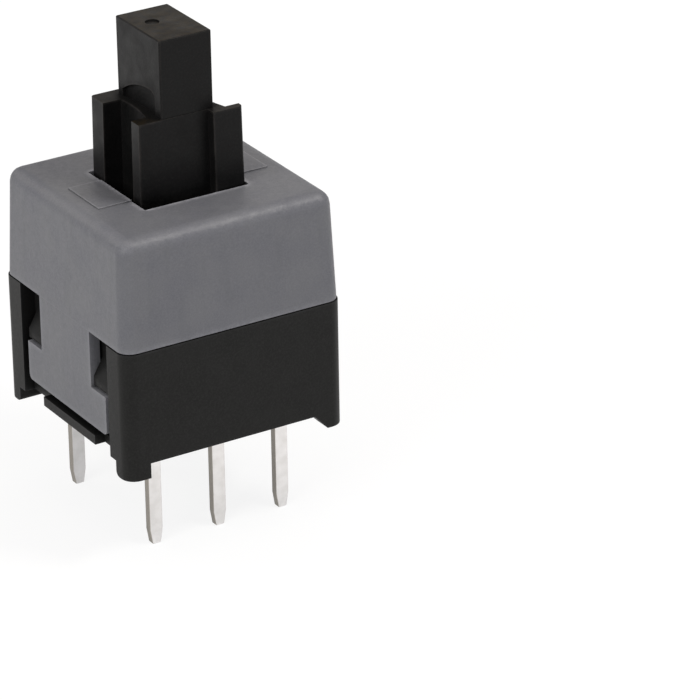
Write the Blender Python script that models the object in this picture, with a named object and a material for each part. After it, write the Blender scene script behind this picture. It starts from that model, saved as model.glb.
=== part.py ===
"""Miniature latching pushbutton switch for a circuit board, two poles, six pins.

Sizes below are in millimetres; the meshes are made in metres, +Z up.
The origin is midway between the six pins, level with their tips. +X runs along
a row of three pins, and the two sides with the snap tabs face -X and +X.
"""

import math

import bmesh
import bpy
from mathutils import Matrix, Vector

MM = 0.001

# Housing
BODY_WIDTH = 8.5
BODY_CORNER = 0.5
BASE_HEIGHT = 4.1
COVER_HEIGHT = 3.97
SEAM_STEP = 0.03
SEAM_GAP = 0.03
FOOT_HEIGHT = 0.55
FOOT_LENGTH_X = 0.88
FOOT_LENGTH_Y = 0.85
FOOT_ROUND = 0.2
FOOT_BEVEL_START = 1.2
FOOT_BEVEL_END = 0.7
FLOOR_THICKNESS = 0.65
TOWER_RISE = 3.0
TOWER_WALL = 0.5

# Cover
COVER_DRAFT = 0.14
COVER_FILLET = 0.5
COVER_WALL = 0.62
COVER_ROOF = 0.65
HOLE_X = 4.02
HOLE_Y = 3.92
PAD_FAR = 3.27
PAD_WIDTH = 2.1
PAD_HEIGHT = 0.04

# Snap tabs and their catches
TAB_THICKNESS = 0.42
TAB_NECK = 3.49
TAB_EARS = 5.46
TAB_WINDOW = 2.05
TAB_EAR_HEIGHT = 1.43
TAB_CORNER = 0.2
TAB_SET_BACK = 0.01
RECESS_WIDTH = 6.04
RECESS_DEPTH = 0.55
CATCH_START = 0.95
CATCH_RAMP = 0.68
CATCH_FLAT = 0.34
CATCH_PROUD = 0.4
CATCH_END = 2.8
LEDGE_THICKNESS = 0.35
LEDGE_Y = (-1.98, 1.66)
NOTCH_DEPTH = 0.38

# Underside
PANEL_X = (-2.08, -0.1)
PANEL_WIDTH_Y = 3.94
PANEL_DEPTH = 0.2
WINDOW_X = (0.62, 2.12)
WINDOW_Y = (-0.81, 0.98)
WINDOW_STEP = 0.3
WINDOW_STEP_DEPTH = 0.25
POCKET_X = (-1.9, -1.19)
POCKET_Y = (3.04, 3.9)
POCKET_DEPTH = 2.5
SLIT_X = (1.08, 1.68)
SLIT_Y = 1.27
SLIT_WIDTH = 0.12
SLIT_DEPTH = 0.15

# Terminals
PIN_PITCH = 2.5
ROW_SPACING = 5.44
STRIP_THICKNESS = 0.3
PIN_LENGTH = 3.85
PIN_WIDTH = 0.49
PIN_TIP_WIDTH = 0.31
PIN_TIP_TAPER = 0.54
ROOT_WIDTH = 1.3
ROOT_EXPOSED = 0.17
ROOT_TAPER = 0.41
BLADE_ROOT = 0.35
BLADE_HEIGHT = 5.3
BLADE_STEM = 0.7
COMMON_WIDTH = 1.0
PAD_REACH = 1.5
UPPER_PAD = 1.7
LOWER_PAD = 3.1

# Plunger
FULL_TRAVEL = 2.5
LATCH_TRAVEL = 1.5
TIP_X = 2.0
TIP_Y = 2.92
TIP_HEIGHT = 2.79
TIP_EDGE = 0.05
SLEEVE_RISE = 2.83
SLEEVE_X = 3.88
SLEEVE_DRAFT = 0.04
BLOCK_X = 3.82
BLOCK_Y = 3.03
WING_INNER_X = 0.78
FRONT_WING_Y = 1.9
FRONT_WING_DEPTH = 0.28
REAR_WING_Y = 1.8
REAR_WING_DEPTH = 0.87
WING_ROUND = 0.12
SCOOP_RADIUS = 4.6
SCOOP_DEEPEST_X = 1.18
SCOOP_CENTRE_Y = -0.2
SCOOP_END_Y = 1.0
ARCH_Y = (-1.08, 1.15)
ARCH_RISE = 0.85
ARCH_SIDE = 0.27
ARCH_CORNER = 0.32
ARCH_DEPTH = 0.12
DIMPLE_WIDTH = 0.5
DIMPLE_DEPTH = 0.06
DIMPLE_PLACE = (-0.28, 0.24)

# Slider inside the housing, in one piece with the plunger
SLIDER_Y = 3.4
SLIDER_LEFT = 2.6
SLIDER_RIGHT = 1.7
SLIDER_HEIGHT = 3.45
SHOULDER_REACH = 2.65
SHOULDER_HEIGHT = 0.6
SHOULDER_INNER_Y = 1.15
KEY_REACH = 3.08
KEY_WIDTH = 1.1
GUIDE_RIB = 0.4

# Return spring
SPRING_X = -1.1
SPRING_WIRE = 0.2
SPRING_DIAMETER = 1.7
SPRING_TURNS = 8
SPRING_END_PITCH = 1.15
WELL_DIAMETER = 2.0
WELL_WALL = 0.22
SKIRT_DROP = 0.55
SPRING_LENGTH = 6.1
STUB_DIAMETER = 1.1
STUB_HEIGHT = 0.6

# Latch: a wire pin that swings on the floor, and a heart-shaped cam in the slider
LATCH_WIRE = 0.3
LATCH_X = 1.95
LATCH_PIVOT_RISE = 0.3
LATCH_TIP_RISE = 3.7
LATCH_SWING_ANGLE = 13.4
LATCH_BEND = 0.28
LATCH_TIP_REACH = 0.6
LATCH_FOOT_REACH = 1.6
CAM_DEPTH = 0.45
CAM_LANE = 0.42
CAM_LOBE = 0.29
CAM_NOTCH_ANGLE = 30
CAM_TOOTH = (-0.12, 2.12)
CAM_BOTTOM_ANGLES = (200, 340)
CAM_CORNER_ANGLE = 110
POST_X = (0.25, 0.6)
POST_WIDTH = 1.0
POST_RISE = 0.65
POST_SLOT = 0.36

# Leaf spring that keeps the pin in its cam
LEAF_THICKNESS = 0.1
LEAF_WIDTH = 1.0
LEAF_HEEL = 1.3
LEAF_BEND_RISE = 1.75
LEAF_TOUCH_RISE = 2.55
LEAF_TOP_RISE = 3.3
LEAF_FLARE = 0.22
CLIP_RIB_THICKNESS = 0.15
CLIP_RIB_HEIGHT = 0.65
CLIP_RIB_WIDTH = 1.9

# Moving contacts
WIPER_THICKNESS = 0.1
WIPER_PLATE_HEIGHT = 1.2
WIPER_PLATE_LOW = 2.15
WIPER_PLATE_WIDTH = 4.1
WIPER_FINGER_WIDTH = 0.55
WIPER_PITCH = 1.6
WIPER_CONTACT_DROP = 1.2
WIPER_BEND_SHARE = 0.5
WIPER_LIP_BACK = 0.2
WIPER_LIP_DROP = 0.3
STAKE_DIAMETER = 0.45
STAKE_RISE = 0.25
STAKE_X = 0.8
STAKE_RISE_Z = 0.65

# Running gaps
FIT = 0.05
SLIDE_GAP = 0.1
WIRE_GAP = 0.03

# Modelling
THROUGH = 0.5
SINK = 0.15
ARC_STEPS = 6
TRACK_STEPS = 10
SPRING_STEPS = 16

# Heights and half sizes that follow from the sizes above
floor_z = PIN_LENGTH
floor_top = floor_z + FLOOR_THICKNESS
seam_z = floor_z + BASE_HEIGHT
cover_top = seam_z + COVER_HEIGHT
roof_z = cover_top - COVER_ROOF
tower_top = seam_z + TOWER_RISE
sleeve_top = cover_top + SLEEVE_RISE
tip_top = sleeve_top + TIP_HEIGHT
slider_top = roof_z - SLIDE_GAP
slider_low = slider_top - SLIDER_HEIGHT
body_half = BODY_WIDTH / 2
cover_half = body_half - SEAM_STEP
cover_inner = cover_half - COVER_WALL
cover_low = seam_z + SEAM_GAP
tower_half = cover_inner - SLIDE_GAP
cavity_half_x = PIN_PITCH + ROOT_WIDTH / 2 + WIRE_GAP
row_y = ROW_SPACING / 2
blade_inner_y = row_y - STRIP_THICKNESS / 2
cavity_half_y = row_y + STRIP_THICKNESS / 2 + FIT
recess_half = RECESS_WIDTH / 2
recess_wall = body_half - RECESS_DEPTH
blade_top = floor_top + BLADE_HEIGHT
pivot_z = floor_top + LATCH_PIVOT_RISE
latch_tip_z = floor_top + LATCH_TIP_RISE
latch_arm = latch_tip_z - pivot_z
slider_half_y = SLIDER_Y / 2
wiper_plate_low = slider_low + WIPER_PLATE_LOW
wiper_contact_z = wiper_plate_low - WIPER_CONTACT_DROP


def collection(name):
    """A collection of this name in the scene."""
    made = bpy.data.collections.new(name)
    bpy.context.scene.collection.children.link(made)
    return made


def clear_scene():
    for obj in list(bpy.data.objects):
        bpy.data.objects.remove(obj, do_unlink=True)


def material(name, colour, roughness, metallic=0.0):
    """A Principled material of one colour."""
    made = bpy.data.materials.new(name)
    made.use_nodes = True
    shader = made.node_tree.nodes["Principled BSDF"]
    shader.inputs["Base Color"].default_value = (*colour, 1.0)
    shader.inputs["Roughness"].default_value = roughness
    shader.inputs["Metallic"].default_value = metallic
    made.diffuse_color = (*colour, 1.0)
    return made


def mesh_object(name, bm):
    """An object from a bmesh drawn in millimetres."""
    bmesh.ops.recalc_face_normals(bm, faces=bm.faces)
    if bm.calc_volume(signed=True) < 0:
        bmesh.ops.reverse_faces(bm, faces=bm.faces)
    mesh = bpy.data.meshes.new(name)
    bm.transform(Matrix.Scale(MM, 4))
    bm.to_mesh(mesh)
    bm.free()
    obj = bpy.data.objects.new(name, mesh)
    bpy.context.scene.collection.objects.link(obj)
    return obj


def box(name, x, y, z, edge=0.0):
    """A block between two corners, its edges rounded to a radius if one is given."""
    bm = bmesh.new()
    size = Vector((x[1] - x[0], y[1] - y[0], z[1] - z[0]))
    middle = Vector((x[1] + x[0], y[1] + y[0], z[1] + z[0])) / 2
    bmesh.ops.create_cube(bm, size=1.0, matrix=Matrix.Translation(middle) @ Matrix.Diagonal((*size, 1.0)))
    if edge:
        bmesh.ops.bevel(bm, geom=bm.edges[:], offset=edge, segments=3, profile=0.5, affect="EDGES")
    return mesh_object(name, bm)


def cylinder(name, centre, radius, low, high, axis="Z", sides=32):
    """A round bar along an axis; centre gives its two other coordinates in order."""
    bm = bmesh.new()
    bmesh.ops.create_cone(
        bm, cap_ends=True, segments=sides, radius1=radius, radius2=radius, depth=high - low
    )
    middle = (low + high) / 2
    if axis == "X":
        turn = Matrix.Rotation(math.radians(90), 4, "Y")
        place = Vector((middle, *centre))
    elif axis == "Y":
        turn = Matrix.Rotation(math.radians(90), 4, "X")
        place = Vector((centre[0], middle, centre[1]))
    else:
        turn = Matrix.Identity(4)
        place = Vector((*centre, middle))
    bm.transform(Matrix.Translation(place) @ turn)
    obj = mesh_object(name, bm)
    obj.data.shade_smooth()
    obj.data.set_sharp_from_angle(angle=math.radians(40))
    return obj


def outline_solid(name, loops, low, high, axis="Z"):
    """A flat outline, with any inner loops as holes, given thickness along an axis.

    Loops hold (x, y) points for axis Z, (x, z) for axis Y and (y, z) for axis X.
    """
    curve = bpy.data.curves.new(name, "CURVE")
    curve.dimensions = "2D"
    curve.fill_mode = "BOTH"
    curve.extrude = (high - low) / 2
    for loop in loops:
        spline = curve.splines.new("POLY")
        spline.points.add(len(loop) - 1)
        for point, (across, up) in zip(spline.points, loop):
            point.co = (across, up, 0.0, 1.0)
        spline.use_cyclic_u = True
    flat = bpy.data.objects.new(name, curve)
    bpy.context.scene.collection.objects.link(flat)
    graph = bpy.context.evaluated_depsgraph_get()
    mesh = bpy.data.meshes.new_from_object(flat.evaluated_get(graph))
    bpy.data.objects.remove(flat, do_unlink=True)
    bpy.data.curves.remove(curve)
    bm = bmesh.new()
    bm.from_mesh(mesh)
    bpy.data.meshes.remove(mesh)
    bmesh.ops.remove_doubles(bm, verts=bm.verts, dist=1e-4)
    middle = (low + high) / 2
    if axis == "X":
        frame = Matrix(((0, 0, 1, middle), (1, 0, 0, 0), (0, 1, 0, 0), (0, 0, 0, 1)))
    elif axis == "Y":
        frame = Matrix(((1, 0, 0, 0), (0, 0, -1, middle), (0, 1, 0, 0), (0, 0, 0, 1)))
    else:
        frame = Matrix.Translation((0, 0, middle))
    bm.transform(frame)
    return mesh_object(name, bm)


def arc(centre, radius, start, end, steps=ARC_STEPS):
    """Points on an arc, both ends included, from one angle to another in degrees."""
    points = []
    for step in range(steps + 1):
        angle = math.radians(start + (end - start) * step / steps)
        points.append((centre[0] + radius * math.cos(angle), centre[1] + radius * math.sin(angle)))
    return points


def rounded_rectangle(half_x, half_y, radius):
    """The outline of a rectangle with round corners."""
    points = []
    for quarter, (side_x, side_y) in enumerate(((1, 1), (-1, 1), (-1, -1), (1, -1))):
        centre = (side_x * (half_x - radius), side_y * (half_y - radius))
        points += arc(centre, radius, 90 * quarter, 90 * quarter + 90)
    return points


def strip_outline(path, thickness):
    """The outline of a bent strip, from the points along its middle."""
    left, right = [], []
    for index, point in enumerate(path):
        before = Vector(path[max(index - 1, 0)])
        after = Vector(path[min(index + 1, len(path) - 1)])
        along = (after - before).normalized()
        across = Vector((-along.y, along.x)) * thickness / 2
        left.append(tuple(Vector(point) + across))
        right.append(tuple(Vector(point) - across))
    return left + right[::-1]


def smooth_path(points, steps=4):
    """Points along a smooth curve through the given ones."""
    smooth = []
    padded = [points[0], *points, points[-1]]
    for index in range(1, len(padded) - 2):
        a, b, c, d = (Vector(p) for p in padded[index - 1 : index + 3])
        for step in range(steps):
            t = step / steps
            squared = 2 * a - 5 * b + 4 * c - d
            cubed = 3 * b - a - 3 * c + d
            smooth.append(tuple(0.5 * (2 * b + (c - a) * t + squared * t**2 + cubed * t**3)))
    smooth.append(tuple(points[-1]))
    return smooth


def boolean(obj, other, operation):
    modifier = obj.modifiers.new(f"{operation.lower()} {other.name}", "BOOLEAN")
    modifier.operation = operation
    modifier.solver = "EXACT"
    modifier.object = other
    for holder in list(other.users_collection):
        holder.objects.unlink(other)
    cutters.objects.link(other)
    other.hide_render = True
    other.display_type = "WIRE"


def cut(obj, *others):
    """Takes the others' shapes out of the object."""
    for other in others:
        boolean(obj, other, "DIFFERENCE")


def join(obj, *others):
    """Adds the others' shapes to the object."""
    for other in others:
        boolean(obj, other, "UNION")


def keep(obj, finish, parent=None):
    """Files a finished piece with the switch, in its material and on its carrier."""
    for holder in list(obj.users_collection):
        holder.objects.unlink(obj)
    switch.objects.link(obj)
    obj.data.materials.clear()
    obj.data.materials.append(finish)
    if parent:
        obj.parent = parent
        obj.matrix_parent_inverse = Matrix.Translation(parent.location).inverted()
    return obj


def axis_empty(name, place):
    """An empty on a joint's axis, which carries the pieces that move with it."""
    empty = bpy.data.objects.new(name, None)
    empty.location = Vector(place) * MM
    empty.empty_display_size = MM
    switch.objects.link(empty)
    return empty


def wire(name, points, diameter, place=(0.0, 0.0, 0.0)):
    """A round wire along points, as a curve object with its origin at the given place."""
    curve = bpy.data.curves.new(name, "CURVE")
    curve.dimensions = "3D"
    curve.bevel_depth = diameter / 2 * MM
    curve.bevel_resolution = 2
    curve.use_fill_caps = True
    spline = curve.splines.new("POLY")
    spline.points.add(len(points) - 1)
    for target, point in zip(spline.points, points):
        target.co = (*((Vector(point) - Vector(place)) * MM), 1.0)
    obj = bpy.data.objects.new(name, curve)
    obj.location = Vector(place) * MM
    bpy.context.scene.collection.objects.link(obj)
    return obj


# Cover


def drafted_shell():
    """The cover's outer form: a block with drafted sides and rounded upper edges."""
    bm = bmesh.new()
    bmesh.ops.create_cube(bm, size=1.0)
    for vert in bm.verts:
        top = vert.co.z > 0
        half = cover_half - (COVER_DRAFT if top else 0.0)
        height = cover_top if top else cover_low
        vert.co = Vector((math.copysign(half, vert.co.x), math.copysign(half, vert.co.y), height))
    rounded = [edge for edge in bm.edges if max(vert.co.z for vert in edge.verts) > roof_z]
    bmesh.ops.bevel(bm, geom=rounded, offset=COVER_FILLET, segments=5, profile=0.5, affect="EDGES")
    return mesh_object("cover", bm)


def snap_tab(side):
    """A tab that hangs from the cover: a neck, and two ears that hook under the catches."""
    neck = TAB_NECK / 2
    ear = TAB_EARS / 2
    ear_top = seam_z - TAB_WINDOW
    ear_low = ear_top - TAB_EAR_HEIGHT
    corner = TAB_CORNER
    outline = [(neck, seam_z + THROUGH), (-neck, seam_z + THROUGH), (-neck, ear_top), (-ear, ear_top)]
    outline += arc((-ear + corner, ear_low + corner), corner, 180, 270)
    outline += arc((ear - corner, ear_low + corner), corner, 270, 360)
    outline += [(ear, ear_top), (neck, ear_top)]
    outer = cover_half - COVER_DRAFT * THROUGH / COVER_HEIGHT - TAB_SET_BACK
    low, high = sorted((side * (cover_half - TAB_THICKNESS), side * outer))
    return outline_solid(f"tab {side}", [outline], low, high, axis="X")


def make_cover():
    cover = drafted_shell()
    for side in (-1, 1):
        pad_x = sorted((side * (HOLE_X / 2 - FIT), side * PAD_FAR))
        pad_z = (cover_top - SINK, cover_top + PAD_HEIGHT)
        join(cover, box(f"pad {side}", pad_x, (-PAD_WIDTH / 2, PAD_WIDTH / 2), pad_z))
    inner = (-cover_inner, cover_inner)
    cut(cover, box("cover inside", inner, inner, (seam_z - THROUGH, roof_z)))
    cut(
        cover,
        box(
            "plunger hole",
            (-HOLE_X / 2, HOLE_X / 2),
            (-HOLE_Y / 2, HOLE_Y / 2),
            (roof_z - THROUGH, cover_top + THROUGH),
        ),
    )
    join(cover, snap_tab(-1), snap_tab(1))
    keep(cover, grey_plastic)


# Base


def catch(side, end):
    """A ramp in a tab's window that the ear snaps under."""
    wall = recess_wall - SINK
    face = recess_wall + CATCH_PROUD
    start = seam_z - CATCH_START
    corner = start - CATCH_RAMP
    outline = [
        (side * wall, start + SINK),
        (side * recess_wall, start),
        (side * face, corner),
        (side * face, corner - CATCH_FLAT),
        (side * wall, corner - CATCH_FLAT),
    ]
    low, high = sorted((end * (TAB_NECK / 2 + FIT), end * CATCH_END))
    return outline_solid(f"catch {side} {end}", [outline], low, high, axis="Y")


def foot_gaps():
    """The two channels under the floor that leave four corner feet."""
    foot_low = floor_z - FOOT_HEIGHT
    low = foot_low - THROUGH
    left = -body_half + FOOT_LENGTH_X
    bevelled = [
        (left, low),
        (body_half - FOOT_BEVEL_END, low),
        (body_half - FOOT_BEVEL_END, foot_low),
        (body_half - FOOT_BEVEL_START, floor_z),
        (left, floor_z),
    ]
    reach = body_half + THROUGH
    along = outline_solid("foot gap along Y", [bevelled], -reach, reach, axis="Y")
    half = body_half - FOOT_LENGTH_Y
    flared = half + FOOT_ROUND
    rounded = [(flared, low), *arc((flared, foot_low + FOOT_ROUND), FOOT_ROUND, 270, 180), (half, floor_z)]
    rounded += [(-y, z) for y, z in reversed(rounded)]
    across = outline_solid("foot gap along X", [rounded], -reach, reach, axis="X")
    return along, across


def terminal_slot(row, column):
    x = column * PIN_PITCH
    half = ROOT_WIDTH / 2 + FIT
    y = row * row_y
    thick = STRIP_THICKNESS / 2 + FIT
    return box(
        f"terminal slot {row} {column}",
        (x - half, x + half),
        (y - thick, y + thick),
        (floor_z - THROUGH, floor_top + THROUGH),
    )


def make_base():
    outline = rounded_rectangle(body_half, body_half, BODY_CORNER)
    base = outline_solid("base", [outline], floor_z - FOOT_HEIGHT, seam_z)
    cut(base, *foot_gaps())
    tower = rounded_rectangle(tower_half, tower_half, TOWER_WALL)
    join(base, outline_solid("tower", [tower], floor_z + SINK, tower_top))
    for side in (-1, 1):
        outer = side * (body_half + THROUGH)
        recess_x = sorted((side * recess_wall, outer))
        recess_z = (floor_z + LEDGE_THICKNESS, seam_z + THROUGH)
        cut(base, box(f"tab recess {side}", recess_x, (-recess_half, recess_half), recess_z))
        ledge = [-side * y for y in LEDGE_Y]
        for end, ledge_end in ((-1, min(ledge)), (1, max(ledge))):
            notch_x = sorted((side * (body_half - NOTCH_DEPTH), outer))
            notch_y = sorted((ledge_end, end * recess_half))
            notch_z = (floor_z - THROUGH, floor_z + LEDGE_THICKNESS + SINK)
            cut(base, box(f"floor notch {side} {end}", notch_x, notch_y, notch_z))
            join(base, catch(side, end))
    cavity = box(
        "cavity",
        (-cavity_half_x, cavity_half_x),
        (-cavity_half_y, cavity_half_y),
        (floor_top, tower_top + THROUGH),
    )
    cut(base, cavity)
    cut_underside(base)
    fit_inside(base)
    for row in (-1, 1):
        for column in (-1, 0, 1):
            cut(base, terminal_slot(row, column))
    keep(base, black_plastic)


def cut_underside(base):
    """The moulded-in panel, window, pockets and slit that show from below."""
    under = floor_z - THROUGH
    panel_half = PANEL_WIDTH_Y / 2
    cut(base, box("sunken panel", PANEL_X, (-panel_half, panel_half), (under, floor_z + PANEL_DEPTH)))
    cut(base, box("window mouth", WINDOW_X, WINDOW_Y, (under, floor_z + WINDOW_STEP_DEPTH)))
    narrow_x = (WINDOW_X[0], WINDOW_X[1] - WINDOW_STEP)
    narrow_y = (WINDOW_Y[0], WINDOW_Y[1] - WINDOW_STEP)
    cut(base, box("window", narrow_x, narrow_y, (under, floor_top + THROUGH)))
    slit_y = (SLIT_Y, SLIT_Y + SLIT_WIDTH)
    cut(base, box("slit", SLIT_X, slit_y, (under, floor_z + SLIT_DEPTH)))
    for row in (-1, 1):
        pocket_y = sorted((row * POCKET_Y[0], row * POCKET_Y[1]))
        cut(base, box(f"pocket {row}", POCKET_X, pocket_y, (under, floor_z + POCKET_DEPTH)))


def fit_inside(base):
    """The spring stub, the latch post, the leaf spring's clip rib and the slider's guide ribs."""
    low = floor_top - SINK
    stub = cylinder("spring stub", (SPRING_X, 0), STUB_DIAMETER / 2, low, floor_top + STUB_HEIGHT)
    post_y = (-POST_WIDTH / 2, POST_WIDTH / 2)
    post = box("latch post", POST_X, post_y, (low, floor_top + POST_RISE))
    rib_outer = cavity_half_x - LEAF_THICKNESS - 2 * FIT
    rib = box(
        "clip rib",
        (rib_outer - CLIP_RIB_THICKNESS, rib_outer),
        (-CLIP_RIB_WIDTH / 2, CLIP_RIB_WIDTH / 2),
        (low, floor_top + CLIP_RIB_HEIGHT),
    )
    join(base, stub, post, rib)
    for end in (-1, 1):
        guide_y = sorted((end * (KEY_WIDTH / 2 + SLIDE_GAP), end * (KEY_WIDTH / 2 + SLIDE_GAP + GUIDE_RIB)))
        guide_x = (-cavity_half_x - SINK, -SLIDER_LEFT - SLIDE_GAP)
        join(base, box(f"guide rib {end}", guide_x, guide_y, (low, tower_top)))
    half = POST_SLOT / 2
    slot_x = (POST_X[0] - FIT, POST_X[1] + FIT)
    cut(
        base,
        box("latch slot", slot_x, (-half, half), (pivot_z, floor_top + POST_RISE + THROUGH)),
        cylinder("latch slot end", (0, pivot_z), half, *slot_x, axis="X", sides=16),
    )


# Terminals


def pin_outline(x):
    """The two sides of a pin and its root, left side from the top down, right side from the tip up."""
    root = ROOT_WIDTH / 2
    half = PIN_WIDTH / 2
    tip = PIN_TIP_WIDTH / 2
    taper_top = floor_z - ROOT_EXPOSED
    right = [
        (x + tip, 0.0),
        (x + half, PIN_TIP_TAPER),
        (x + half, taper_top - ROOT_TAPER),
        (x + root, taper_top),
        (x + root, floor_top + BLADE_ROOT),
    ]
    left = [(2 * x - across, up) for across, up in reversed(right)]
    return left, right


def blade_outline(column):
    """The blade inside the base, from the right end of the root round to its left end."""
    x = column * PIN_PITCH
    root_top = floor_top + BLADE_ROOT
    if column == 0:
        half = COMMON_WIDTH / 2
        return [(half, root_top), (half, blade_top), (-half, blade_top), (-half, root_top)]
    outer = x + column * ROOT_WIDTH / 2
    reach = outer - column * (ROOT_WIDTH + PAD_REACH / 2)
    if column == 1:
        pad_top = floor_top + LOWER_PAD
        return [(outer, pad_top), (reach, pad_top), (reach, root_top)]
    pad_low = blade_top - UPPER_PAD
    stem = outer + BLADE_STEM
    return [(stem, root_top), (stem, pad_low), (reach, pad_low), (reach, blade_top), (outer, blade_top)]


def make_terminals():
    columns = {-1: "left", 0: "common", 1: "right"}
    rows = {-1: "front", 1: "rear"}
    for row, row_name in rows.items():
        for column, column_name in columns.items():
            left, right = pin_outline(column * PIN_PITCH)
            outline = left + right + blade_outline(column)
            middle = row * row_y
            half = STRIP_THICKNESS / 2
            name = f"terminal_{row_name}_{column_name}"
            terminal = outline_solid(name, [outline], middle - half, middle + half, axis="Y")
            keep(terminal, tinned_brass)


# Plunger


def sleeve_side(wing_y, wing_depth):
    """The sleeve's section on one side: the flat of its block, a wing, and the scoop behind it."""
    wing_wall = -wing_y + wing_depth
    start = math.degrees(math.asin((SCOOP_CENTRE_Y - wing_wall) / SCOOP_RADIUS))
    end = math.degrees(math.asin((SCOOP_END_Y - SCOOP_CENTRE_Y) / SCOOP_RADIUS))
    side = [(-BLOCK_X / 2, -BLOCK_Y / 2), (WING_INNER_X, -BLOCK_Y / 2), (WING_INNER_X, -wing_y)]
    side += arc((SLEEVE_X / 2 - WING_ROUND, -wing_y + WING_ROUND), WING_ROUND, 270, 360, steps=3)
    side.append((SLEEVE_X / 2, wing_wall))
    side += arc((SCOOP_DEEPEST_X + SCOOP_RADIUS, SCOOP_CENTRE_Y), SCOOP_RADIUS, 180 + start, 180 - end)
    side.append((BLOCK_X / 2, SCOOP_END_Y))
    return side


def sleeve_outline():
    """The front side, then the rear side turned through 180 degrees."""
    front = sleeve_side(FRONT_WING_Y, FRONT_WING_DEPTH)
    rear = sleeve_side(REAR_WING_Y, REAR_WING_DEPTH)
    return front + [(-x, -y) for x, y in rear]


def make_sleeve():
    """The sleeve that runs in the cover's hole, slightly narrower at its top than at its foot."""
    sleeve = outline_solid("plunger", [sleeve_outline()], slider_top - SINK, sleeve_top)
    narrowing = 1 - 2 * SLEEVE_DRAFT / SLEEVE_X
    middle = sleeve_top * MM / 2 + slider_top * MM / 2
    for vert in sleeve.data.vertices:
        if vert.co.z > middle:
            vert.co.x *= narrowing
            vert.co.y *= narrowing
    return sleeve


def arch_pocket(side):
    """The shallow pocket low on a side face of the tip: upright at one end, running out low at the other."""
    steep, low_end = ARCH_Y
    crest = steep + ARCH_CORNER
    run = low_end - crest
    drop = ARCH_RISE - ARCH_SIDE
    radius = (run**2 + drop**2) / (2 * drop)
    angle = math.degrees(math.asin(run / radius))
    outline = [(steep, sleeve_top)]
    outline += arc((crest, sleeve_top + ARCH_RISE - ARCH_CORNER), ARCH_CORNER, 180, 90)
    outline += arc((crest, sleeve_top + ARCH_RISE - radius), radius, 90, 90 - angle)[1:]
    outline.append((low_end, sleeve_top))
    turned = [(-side * y, z) for y, z in outline]
    low, high = sorted((side * (TIP_X / 2 - ARCH_DEPTH), side * (TIP_X / 2 + THROUGH)))
    return outline_solid(f"arch pocket {side}", [turned], low, high, axis="X")


def tip_track(side):
    """Where the latch pin's tip runs on the slider, as (y, z), from released to fully pressed."""
    points = []
    for step in range(TRACK_STEPS + 1):
        travel = FULL_TRAVEL * step / TRACK_STEPS
        swing = math.radians(LATCH_SWING_ANGLE) * travel / FULL_TRAVEL
        up = travel - latch_arm * (1 - math.cos(swing))
        points.append((side * latch_arm * math.sin(swing), latch_tip_z + up))
    return points


def offset_path(path, distance):
    """The path moved sideways, to its left for a positive distance."""
    moved = []
    for index, point in enumerate(path):
        before = Vector(path[max(index - 1, 0)])
        after = Vector(path[min(index + 1, len(path) - 1)])
        along = (after - before).normalized()
        moved.append((point[0] - along.y * distance, point[1] + along.x * distance))
    return moved


def heart_cam():
    """The cam groove in the slider's side: an outer wall with a tooth, round a heart-shaped island."""
    lane = CAM_LANE / 2
    right = tip_track(1)
    outer_right = offset_path(right, -lane)
    outer_left = [(-y, z) for y, z in outer_right]
    corner = right[-1]
    tooth = (CAM_TOOTH[0], latch_tip_z + CAM_TOOTH[1])
    wall = arc(right[0], lane, *CAM_BOTTOM_ANGLES) + outer_right[1:]
    wall += arc(corner, lane, 0, CAM_CORNER_ANGLE)
    wall.append(tooth)
    wall += arc((-corner[0], corner[1]), lane, 180 - CAM_CORNER_ANGLE, 180)
    wall += outer_left[:0:-1]
    inner_right = [(y, z) for y, z in offset_path(right, lane) if y > 0]
    notch = math.radians(CAM_NOTCH_ANGLE)
    seat_z = latch_tip_z + LATCH_TRAVEL - (LATCH_WIRE / 2 + WIRE_GAP) / math.sin(notch)
    lobe_z = seat_z + CAM_LOBE / math.tan(notch)
    side = [(y, z) for y, z in inner_right if z < lobe_z]
    start = latch_tip_z + lane / math.sin(math.atan2(right[1][0], right[1][1] - right[0][1]))
    island = [(0.0, start), *side, (CAM_LOBE, lobe_z), (0.0, seat_z), (-CAM_LOBE, lobe_z)]
    island += [(-y, z) for y, z in reversed(side)]
    low = SLIDER_RIGHT - CAM_DEPTH
    return outline_solid("heart cam", [wall, island], low, SLIDER_RIGHT + THROUGH, axis="X")


def make_slider():
    """The part of the plunger inside the housing."""
    sides = (-slider_half_y, slider_half_y)
    slider = box("slider", (-SLIDER_LEFT, SLIDER_RIGHT), sides, (slider_low, slider_top))
    shoulder_z = (slider_top - SHOULDER_HEIGHT, slider_top)
    for end in (-1, 1):
        shoulder_y = sorted((end * SHOULDER_INNER_Y, end * slider_half_y))
        reach = (SLIDER_RIGHT - SINK, SHOULDER_REACH)
        join(slider, box(f"shoulder {end}", reach, shoulder_y, shoulder_z))
    key = box(
        "guide key",
        (-KEY_REACH, -SLIDER_LEFT + SINK),
        (-KEY_WIDTH / 2, KEY_WIDTH / 2),
        (slider_low, slider_top),
    )
    skirt_radius = WELL_DIAMETER / 2 + WELL_WALL
    skirt_low = slider_low - SKIRT_DROP
    skirt = cylinder("skirt", (SPRING_X, 0), skirt_radius, skirt_low, slider_low + SINK)
    join(slider, key, skirt)
    well_top = floor_top + SPRING_LENGTH + FIT
    cut(slider, cylinder("spring well", (SPRING_X, 0), WELL_DIAMETER / 2, skirt_low - THROUGH, well_top))
    cut(slider, heart_cam())
    for row in (-1, 1):
        for side in (-1, 1):
            reach = sorted((row * (slider_half_y - SINK), row * (slider_half_y + STAKE_RISE)))
            place = (side * STAKE_X, wiper_plate_low + STAKE_RISE_Z)
            stake = cylinder(f"stake {row} {side}", place, STAKE_DIAMETER / 2, *reach, axis="Y", sides=16)
            join(slider, stake)
    return slider


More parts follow.
